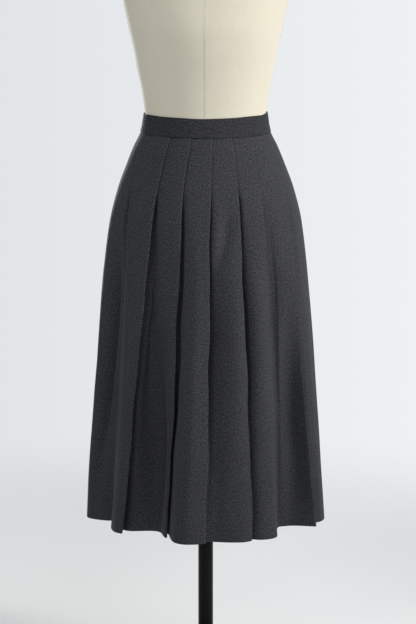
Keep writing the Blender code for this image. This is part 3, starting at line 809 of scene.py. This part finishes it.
def new_group(name, kind, inputs, outputs):
    """A node group with its named sockets, what comes into it, and where its results go."""
    tree = bpy.data.node_groups.new(name, kind)
    for direction, sockets in (("INPUT", inputs), ("OUTPUT", outputs)):
        for title, sort in sockets.items():
            tree.interface.new_socket(name=title, in_out=direction, socket_type="NodeSocket" + sort)
    return tree, tree.nodes.new("NodeGroupInput").outputs, tree.nodes.new("NodeGroupOutput").inputs


def calculate(tree, operation, *terms, clamped=False):
    feeds = dict(enumerate(terms))
    return add_node(tree, "ShaderNodeMath", feeds, operation=operation, use_clamp=clamped).outputs[0]


def spaced_along(tree, curve, spacing):
    feeds = {"Curve": curve, "Length": spacing}
    return add_node(tree, "GeometryNodeResampleCurve", feeds, mode="LENGTH").outputs["Curve"]


def finish_tree(tree, shape, material, done):
    """Ends a tree with real geometry and its material."""
    real = add_node(tree, "GeometryNodeRealizeInstances", {"Geometry": shape}).outputs["Geometry"]
    painted = add_node(tree, "GeometryNodeSetMaterial", {"Geometry": real, "Material": material})
    tree.links.new(painted.outputs["Geometry"], done["Geometry"])


def stitch_tree():
    """Stitches along curves: a short bar of thread at each step, turned a little across the path."""
    inputs = {
        "Geometry": "Geometry",
        "Spacing": "Float",
        "Stitch length": "Float",
        "Thread radius": "Float",
        "Slant": "Float",
        "Thread": "Material",
    }
    tree, given, done = new_group("stitches_along_path", "GeometryNodeTree", inputs, {"Geometry": "Geometry"})
    points = spaced_along(tree, given["Geometry"], given["Spacing"])
    bar = add_node(
        tree,
        "GeometryNodeMeshCylinder",
        {"Vertices": 6, "Radius": given["Thread radius"], "Depth": given["Stitch length"]},
    )
    tangent = tree.nodes.new("GeometryNodeInputTangent").outputs["Tangent"]
    turned = add_node(tree, "FunctionNodeAlignRotationToVector", {"Vector": tangent}, axis="Z")
    wobble = add_node(tree, "FunctionNodeRandomValue", {"Min": 0.7, "Max": 1.3, "Seed": 7}, data_type="FLOAT")
    random = next(s for s in wobble.outputs if s.enabled)
    slant = add_node(tree, "ShaderNodeCombineXYZ", {"Y": calculate(tree, "MULTIPLY", given["Slant"], random)})
    slanted = add_node(
        tree,
        "FunctionNodeRotateRotation",
        {"Rotation": turned.outputs["Rotation"], "Rotate By": slant.outputs[0]},
        rotation_space="LOCAL",
    )
    placed = add_node(
        tree,
        "GeometryNodeInstanceOnPoints",
        {"Points": points, "Instance": bar.outputs["Mesh"], "Rotation": slanted.outputs[0]},
    )
    finish_tree(tree, placed.outputs["Instances"], given["Thread"], done)
    return tree


def piping_tree():
    """A thin round welt along curves."""
    inputs = {"Geometry": "Geometry", "Step": "Float", "Radius": "Float", "Cloth": "Material"}
    tree, given, done = new_group("welt_along_path", "GeometryNodeTree", inputs, {"Geometry": "Geometry"})
    path = spaced_along(tree, given["Geometry"], given["Step"])
    ring = add_node(tree, "GeometryNodeCurvePrimitiveCircle", {"Resolution": 10, "Radius": given["Radius"]})
    tube = add_node(
        tree,
        "GeometryNodeCurveToMesh",
        {"Curve": path, "Profile Curve": ring.outputs["Curve"], "Fill Caps": True},
    )
    smooth = add_node(tree, "GeometryNodeSetShadeSmooth", {"Geometry": tube.outputs["Mesh"]})
    finish_tree(tree, smooth.outputs["Geometry"], given["Cloth"], done)
    return tree


def paths_object(name, paths):
    curve = bpy.data.curves.new(name, "CURVE")
    curve.dimensions = "3D"
    for path in paths:
        spline = curve.splines.new("POLY")
        spline.points.add(len(path) - 1)
        for point, place in zip(spline.points, path):
            point.co = (*place, 1.0)
    guide = bpy.data.objects.new(name, curve)
    bpy.context.scene.collection.objects.link(guide)
    return guide


def along_paths(name, paths, tree, inputs):
    """A plain mesh of what a tree makes along paths."""
    guide = paths_object(name + "_path", paths)
    modifier = guide.modifiers.new("made", "NODES")
    modifier.node_group = tree
    for item in tree.interface.items_tree:
        if item.item_type == "SOCKET" and item.in_out == "INPUT" and item.name in inputs:
            modifier[item.identifier] = inputs[item.name]
    bpy.context.view_layer.update()
    seen = guide.evaluated_get(bpy.context.evaluated_depsgraph_get())
    mesh = bpy.data.meshes.new_from_object(seen)
    mesh.name = name
    guide.modifiers.remove(modifier)
    bpy.data.objects.remove(guide)
    piece = bpy.data.objects.new(name, mesh)
    bpy.context.scene.collection.objects.link(piece)
    return piece


def hem_paths(first_face, last_face):
    """Along the upper edge of the turned-up hem, inside each face between its hidden laps."""
    height = HEM + HEM_DEPTH
    level = level_at(OUTLINE, height)
    paths = []
    for index in range(first_face, last_face + 1):
        line = face_line(index % len(FOLDS), height, level)[1:-1]
        inner = beside(line, np.full(len(line), CLOTH / 2 + 0.0003))
        paths.append([(x, y, height) for x, y in inner])
    return paths


def form_seam_path(angle, low, high, out):
    """A line up the form at one angle."""
    heights = np.linspace(low, high, 90)
    return [form_point(level_at(FORM, h), angle, h, -out) for h in heights]


# Materials

TWILL_LEAN = 58            # degrees
YARN_SCALE = 640.0         # noise scales to a metre: the heathered yarn,
CLOUD_SCALE = 320.0        # its coarser patches
FLECK_SCALE = 900.0        # and single pale fibres
YARN_LENGTH = 0.55         # noise is this much denser down the cloth than across it
WOOL_RIBS = 190.0
JERSEY_RIBS = 230.0
JERSEY_YARN = 420.0
RUBBED_SCALE = 14.0        # broad patches where a hard surface is smoother


def noise(tree, place, scale, detail, roughness, **settings):
    feeds = {"Vector": place, "Scale": scale, "Detail": detail, "Roughness": roughness}
    return add_node(tree, "ShaderNodeTexNoise", feeds, **settings).outputs["Fac"]


def remap(tree, value, low, high, to_low=0.0, to_high=1.0, **settings):
    feeds = {"Value": value, "From Min": low, "From Max": high, "To Min": to_low, "To Max": to_high}
    return add_node(tree, "ShaderNodeMapRange", feeds, **settings).outputs[0]


def blend(tree, part, first, second):
    feeds = {"Factor": part, 6: first, 7: second}
    return add_node(tree, "ShaderNodeMix", feeds, data_type="RGBA").outputs[2]


def wool_group():
    """Heathered brushed twill: colour, roughness and height, from places in the flat cloth in metres."""
    inputs = {
        "Vector": "Vector",
        "Dark": "Color",
        "Pale": "Color",
        "Fleck": "Color",
        "Fleck share": "Float",
        "Rib scale": "Float",
    }
    outputs = {"Color": "Color", "Roughness": "Float", "Height": "Float"}
    tree, given, done = new_group("heathered_twill", "ShaderNodeTree", inputs, outputs)
    turned = (0, 0, math.radians(TWILL_LEAN))
    lean = add_node(tree, "ShaderNodeMapping", {"Vector": given["Vector"], "Rotation": turned})
    ribs = add_node(
        tree,
        "ShaderNodeTexWave",
        {"Vector": lean.outputs[0], "Scale": given["Rib scale"], "Distortion": 1.6, "Detail": 2.0,
         "Detail Scale": 3.0, "Detail Roughness": 0.6},
        wave_type="BANDS",
        bands_direction="X",
    ).outputs["Fac"]
    lengthened = (1.0, YARN_LENGTH, 1.0)
    yarn = add_node(tree, "ShaderNodeMapping", {"Vector": given["Vector"], "Scale": lengthened}).outputs[0]
    heather = noise(tree, yarn, YARN_SCALE, 2.0, 0.6, noise_dimensions="2D")
    clouds = noise(tree, given["Vector"], CLOUD_SCALE, 1.0, 0.5, noise_dimensions="2D")
    both = calculate(tree, "MULTIPLY_ADD", clouds, 0.55, heather)
    ribbed = calculate(tree, "MULTIPLY_ADD", ribs, 0.22, remap(tree, both, 0.52, 1.03), clamped=True)
    body = blend(tree, ribbed, given["Dark"], given["Pale"])
    flecks = remap(tree, noise(tree, yarn, FLECK_SCALE, 1.0, 0.5, noise_dimensions="2D"), 0.64, 0.78)
    share = calculate(tree, "MULTIPLY", flecks, given["Fleck share"], clamped=True)
    tree.links.new(blend(tree, share, body, given["Fleck"]), done["Color"])
    tree.links.new(remap(tree, heather, 0.3, 0.7, 0.82, 0.98), done["Roughness"])
    tree.links.new(calculate(tree, "MULTIPLY_ADD", ribs, 0.45, both), done["Height"])
    return tree


def uneven_group():
    """A colour with a faint unevenness over a whole surface, such as handling and settled dust."""
    inputs = {"Vector": "Vector", "Color": "Color", "Scale": "Float", "Amount": "Float"}
    tree, given, done = new_group("settled_unevenness", "ShaderNodeTree", inputs, {"Color": "Color"})
    patches = remap(tree, noise(tree, given["Vector"], given["Scale"], 4.0, 0.55), 0.3, 0.7, -1.0)
    bright = calculate(tree, "MULTIPLY_ADD", patches, given["Amount"], 1.0)
    tinted = add_node(tree, "ShaderNodeVectorMath", {0: given["Color"], "Scale": bright}, operation="SCALE")
    tree.links.new(tinted.outputs[0], done["Color"])
    return tree


def fine_grain_group():
    """Orange peel of a powder coat, or the grain of moulded plastic: roughness and height."""
    inputs = {"Vector": "Vector", "Scale": "Float", "Smoothest": "Float", "Roughest": "Float"}
    outputs = {"Roughness": "Float", "Height": "Float"}
    tree, given, done = new_group("fine_grain", "ShaderNodeTree", inputs, outputs)
    rubbed = noise(tree, given["Vector"], RUBBED_SCALE, 3.0, 0.6)
    rough = remap(tree, rubbed, 0.35, 0.65, given["Smoothest"], given["Roughest"])
    tree.links.new(rough, done["Roughness"])
    tree.links.new(noise(tree, given["Vector"], given["Scale"], 2.0, 0.5), done["Height"])
    return tree


def knit_group():
    """Fine jersey: rows of small loops, as a height and a slight shade."""
    inputs = {"Vector": "Vector", "Rib scale": "Float"}
    outputs = {"Shade": "Float", "Height": "Float"}
    tree, given, done = new_group("fine_jersey", "ShaderNodeTree", inputs, outputs)
    rows = add_node(
        tree,
        "ShaderNodeTexWave",
        {"Vector": given["Vector"], "Scale": given["Rib scale"], "Distortion": 1.2, "Detail": 1.0},
        wave_type="BANDS",
        bands_direction="Z",
    ).outputs["Fac"]
    yarn = noise(tree, given["Vector"], JERSEY_YARN, 3.0, 0.6)
    tree.links.new(remap(tree, yarn, 0.3, 0.7), done["Shade"])
    tree.links.new(calculate(tree, "MULTIPLY_ADD", rows, 0.4, yarn), done["Height"])
    return tree


def new_material(name, **constants):
    material = bpy.data.materials.new(name)
    material.use_nodes = True
    shader = material.node_tree.nodes["Principled BSDF"]
    for socket, value in constants.items():
        shader.inputs[socket.replace("_", " ")].default_value = value
    return material, material.node_tree, shader


def place_group(tree, group, feeds):
    return add_node(tree, "ShaderNodeGroup", feeds, node_tree=group).outputs


def coordinates(tree, name):
    return tree.nodes.new("ShaderNodeTexCoord").outputs[name]


def bump(tree, shader, height, distance, strength):
    made = add_node(tree, "ShaderNodeBump", {"Height": height, "Distance": distance, "Strength": strength})
    tree.links.new(made.outputs["Normal"], shader.inputs["Normal"])


def even_colour(tree, shader, groups, colour, scale, amount):
    """The base colour, with a faint unevenness over the whole surface."""
    feeds = {"Vector": coordinates(tree, "Object"), "Color": colour, "Scale": scale, "Amount": amount}
    tree.links.new(place_group(tree, groups["uneven"], feeds)["Color"], shader.inputs["Base Color"])


def hard_surface(tree, shader, groups, place, scale, smoothest, roughest, distance, strength):
    """The roughness and small bumps of a coated, moulded or lacquered surface."""
    feeds = {"Vector": place, "Scale": scale, "Smoothest": smoothest, "Roughest": roughest}
    fine = place_group(tree, groups["grain"], feeds)
    tree.links.new(fine["Roughness"], shader.inputs["Roughness"])
    bump(tree, shader, fine["Height"], distance, strength)


def wool_material(name, groups, dark, pale, bump_distance):
    sheen = {"Sheen_Weight": 0.09, "Sheen_Roughness": 0.32, "Specular_IOR_Level": 0.10}
    material, tree, shader = new_material(name, **sheen)
    shader.inputs["Sheen Tint"].default_value = (0.80, 0.82, 0.88, 1)
    cloth = place_group(
        tree,
        groups["wool"],
        {
            "Vector": coordinates(tree, "UV"),
            "Dark": dark,
            "Pale": pale,
            "Fleck": (0.21, 0.215, 0.23, 1),
            "Fleck share": 0.34,
            "Rib scale": WOOL_RIBS,
        },
    )
    even_colour(tree, shader, groups, cloth["Color"], 9.0, 0.05)
    tree.links.new(cloth["Roughness"], shader.inputs["Roughness"])
    bump(tree, shader, cloth["Height"], bump_distance, 0.55)
    return material


def thread_material(name, groups, colour):
    material, tree, shader = new_material(name, Roughness=0.7, Sheen_Weight=0.2)
    even_colour(tree, shader, groups, colour, 900.0, 0.25)
    return material


def jersey_material(groups):
    surface = {"Roughness": 0.88, "Sheen_Weight": 0.18, "Sheen_Roughness": 0.5}
    material, tree, shader = new_material("cream_jersey", **surface)
    feeds = {"Vector": coordinates(tree, "Object"), "Rib scale": JERSEY_RIBS}
    knit = place_group(tree, groups["knit"], feeds)
    cream = blend(tree, knit["Shade"], (0.475, 0.442, 0.355, 1), (0.530, 0.496, 0.402, 1))
    even_colour(tree, shader, groups, cream, 5.0, 0.035)
    bump(tree, shader, knit["Height"], 0.0004, 0.5)
    return material


def wood_material(groups):
    material, tree, shader = new_material("lacquered_beech", Coat_Weight=0.35, Coat_Roughness=0.2)
    grain_space = add_node(
        tree,
        "ShaderNodeMapping",
        {"Vector": coordinates(tree, "Object"), "Scale": (1.0, 0.12, 1.0)},
    ).outputs[0]
    rings = noise(tree, grain_space, 160.0, 5.0, 0.65)
    beech = blend(tree, rings, (0.40, 0.29, 0.17, 1), (0.66, 0.54, 0.37, 1))
    even_colour(tree, shader, groups, beech, 20.0, 0.06)
    hard_surface(tree, shader, groups, grain_space, 500.0, 0.34, 0.46, 0.0002, 0.3)
    return material


def black_material(name, groups, colour, smoothest, roughest, scale, distance, specular):
    material, tree, shader = new_material(name, Specular_IOR_Level=specular)
    even_colour(tree, shader, groups, colour, 18.0, 0.18)
    place = coordinates(tree, "Object")
    hard_surface(tree, shader, groups, place, scale, smoothest, roughest, distance, 0.4)
    return material


# The studio

CAMERA_PLACE = (0.0047, -4.3, 1.274)
CAMERA_TILT = 7.40         # degrees below level
PHOTO_HEIGHT = 624         # pixels
PHOTO_FOCAL = 2197         # focal length in pixels
SENSOR = 36
ROOM_LIGHT = 0.80          # how strongly the pale room lights the piece
FLOOR_RADIUS = 2.6
FLOOR_DROP = 0.0005        # keeps the floor just clear of the base
FLOOR_FULL = 0.25          # the floor is whole to this distance, and fades into the backdrop beyond


def camera():
    data = bpy.data.cameras.new("camera")
    data.sensor_fit = "AUTO"
    data.sensor_width = SENSOR
    data.lens = PHOTO_FOCAL / PHOTO_HEIGHT * SENSOR
    seen = bpy.data.objects.new("camera", data)
    seen.location = CAMERA_PLACE
    seen.rotation_euler = (math.radians(90 - CAMERA_TILT), 0, 0)
    bpy.context.scene.collection.objects.link(seen)
    bpy.context.scene.camera = seen


def softbox(name, place, aim, width, height, energy, colour, spread):
    data = bpy.data.lights.new(name, "AREA")
    data.shape = "RECTANGLE"
    data.size = width
    data.size_y = height
    data.energy = energy
    data.color = colour
    data.spread = math.radians(spread)
    lamp = bpy.data.objects.new(name, data)
    lamp.location = place
    lamp.rotation_euler = (Vector(aim) - Vector(place)).to_track_quat("-Z", "Y").to_euler()
    lamp.visible_camera = False
    bpy.context.scene.collection.objects.link(lamp)


def left_to_right(tree, place, reach, left, right):
    """A colour that turns from one to another over a distance each side of the middle."""
    sides = add_node(tree, "ShaderNodeSeparateXYZ", {"Vector": place})
    turned = remap(tree, sides.outputs["X"], -reach, reach, interpolation_type="SMOOTHSTEP")
    return blend(tree, turned, left, right)


def studio():
    world = bpy.data.worlds.new("pale_studio")
    bpy.context.scene.world = world
    world.use_nodes = True
    tree = world.node_tree
    tree.nodes.clear()
    direction = tree.nodes.new("ShaderNodeTexCoord").outputs["Generated"]
    wall = left_to_right(tree, direction, 0.30, (0.690, 0.722, 0.742, 1), (0.920, 0.938, 0.955, 1))
    ray = tree.nodes.new("ShaderNodeLightPath").outputs["Is Camera Ray"]
    seen = add_node(tree, "ShaderNodeBackground", {"Color": wall, "Strength": 1.0})
    shining = add_node(tree, "ShaderNodeBackground", {"Color": wall, "Strength": ROOM_LIGHT})
    both = add_node(tree, "ShaderNodeMixShader", {0: ray})
    tree.links.new(shining.outputs[0], both.inputs[1])
    tree.links.new(seen.outputs[0], both.inputs[2])
    done = tree.nodes.new("ShaderNodeOutputWorld")
    tree.links.new(both.outputs[0], done.inputs["Surface"])
    softbox("right_softbox", (3.44, -1.25, 2.2), (0, 0, 1.02), 0.9, 0.9, 8.2, (1.0, 0.99, 0.97), 38)
    softbox("left_softbox", (-1.60, -3.30, 2.3), (0, 0, 1.02), 0.9, 0.7, 1.7, (1.0, 0.995, 0.98), 34)
    softbox("left_rim_softbox", (-1.30, 2.90, 1.5), (0, 0, 0.95), 0.7, 1.4, 13, (0.96, 0.98, 1.0), 60)


def studio_floor():
    data = bmesh.new()
    bmesh.ops.create_circle(data, cap_ends=True, radius=FLOOR_RADIUS, segments=96)
    mesh = bpy.data.meshes.new("studio_floor")
    data.to_mesh(mesh)
    data.free()
    material, tree, shader = new_material("pale_floor", Roughness=0.85, Specular_IOR_Level=0.2)
    place = coordinates(tree, "Object")
    # The floor's colour is painted darker on the left and lighter on the right: painted shade and painted
    # light, standing in for how the lamps light the floor unevenly.
    pale = left_to_right(tree, place, 0.35, (0.66, 0.65, 0.645, 1), (0.87, 0.86, 0.855, 1))
    tree.links.new(pale, shader.inputs["Base Color"])
    far = add_node(tree, "ShaderNodeVectorMath", {0: place}, operation="LENGTH").outputs["Value"]
    fade = remap(tree, far, FLOOR_FULL, FLOOR_RADIUS, 1.0, 0.0, interpolation_type="SMOOTHSTEP")
    tree.links.new(fade, shader.inputs["Alpha"])
    mesh.materials.append(material)
    floor = bpy.data.objects.new("studio_floor", mesh)
    floor.location = (0, 0, -FLOOR_DROP)
    bpy.context.scene.collection.objects.link(floor)


# Putting it together

def keep(piece, slot, *replaced):
    """A finished piece rides with the object and stands for the solids that it covers."""
    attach(piece, "root")
    if replaced:
        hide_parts(*replaced)
    return piece


def main():
    bpy.context.scene.view_settings.view_transform = "Standard"
    groups = {
        "wool": wool_group(),
        "uneven": uneven_group(),
        "grain": fine_grain_group(),
        "knit": knit_group(),
    }
    dark, pale = (0.0050, 0.0052, 0.0063, 1), (0.0458, 0.0468, 0.0522, 1)
    wool = wool_material("charcoal_wool", groups, dark, pale, 0.0006)
    # The band's wool has its own finer, flatter heather, and is set darker than the skirt's: painted shade,
    # dimming the band that the lamps light more strongly than the pleats below.
    dark, pale = (0.0066, 0.0068, 0.0078, 1), (0.0298, 0.0307, 0.0345, 1)
    band_wool = wool_material("charcoal_band_wool", groups, dark, pale, 0.0004)
    thread = thread_material("charcoal_thread", groups, (0.030, 0.031, 0.034, 1))
    pale_thread = thread_material("cream_thread", groups, (0.60, 0.56, 0.46, 1))
    jersey = jersey_material(groups)
    beech = wood_material(groups)
    pole_black, collar_black, base_black = (
        black_material(name, groups, *finish)
        for name, *finish in (
            ("black_powder_coat", (0.004, 0.004, 0.0044, 1), 0.30, 0.42, 900.0, 0.0001, 0.12),
            ("black_plastic", (0.007, 0.007, 0.0075, 1), 0.42, 0.55, 1400.0, 0.0001, 0.25),
            ("black_plate_coat", (0.006, 0.006, 0.0065, 1), 0.36, 0.50, 800.0, 0.00012, 0.2),
        )
    )

    front = skirt_shell("pleats_front", SECOND_SIDE_FOLD, FIRST_SIDE_FOLD, wool)
    keep(front, "skirt_wool", "skirt_front")
    back = skirt_shell("pleats_back", FIRST_SIDE_FOLD, SECOND_SIDE_FOLD, wool)
    keep(back, "skirt_wool", "skirt_back")
    band_front = keep(band_shell("band_front", -90, 90, True, band_wool), "band_wool", "waistband_front")
    band_back = keep(band_shell("band_back", 90, 270, False, band_wool), "band_wool", "waistband_back")

    keep(form_shell(jersey), "form_cover", "form_torso")
    keep(neck_cap(beech), "form_cap", "form_neck_cap")
    keep(stand_collar(collar_black), "stand_collar", "stand_collar")
    keep(stand_pole(pole_black), "stand_pole", "stand_pole")
    keep(stand_base(base_black), "stand_base", "stand_base")

    stitches = stitch_tree()
    hem_sizes = {
        "Spacing": 0.0075,
        "Stitch length": 0.0034,
        "Thread radius": 0.00022,
        "Slant": 0.55,
        "Thread": thread,
    }
    hem_front = keep(along_paths("hem_stitches_front", hem_paths(15, 23), stitches, hem_sizes), "skirt_wool")
    hem_back = keep(along_paths("hem_stitches_back", hem_paths(8, 14), stitches, hem_sizes), "skirt_wool")

    welts = piping_tree()
    seam_angles = [math.radians(a) for a in (0, 90, 180, 270)]
    seams = [form_seam_path(a, FORM_BOTTOM + 0.008, FORM_TOP - 0.002, -0.0004) for a in seam_angles]
    welt_sizes = {"Step": 0.006, "Radius": 0.0009, "Cloth": jersey}
    keep(along_paths("form_seams", seams, welts, welt_sizes), "form_cover")
    seam_stitches = [
        form_seam_path(a + side * 0.018, WAIST_TOP + 0.012, FORM_TOP - 0.006, 0.0001)
        for a in seam_angles
        for side in (-1, 1)
    ]
    fine_sizes = {
        "Spacing": 0.0044,
        "Stitch length": 0.0026,
        "Thread radius": 0.00016,
        "Slant": 0.0,
        "Thread": pale_thread,
    }
    keep(along_paths("form_seam_stitches", seam_stitches, stitches, fine_sizes), "form_cover")

    camera()
    studio()
    studio_floor()


main()
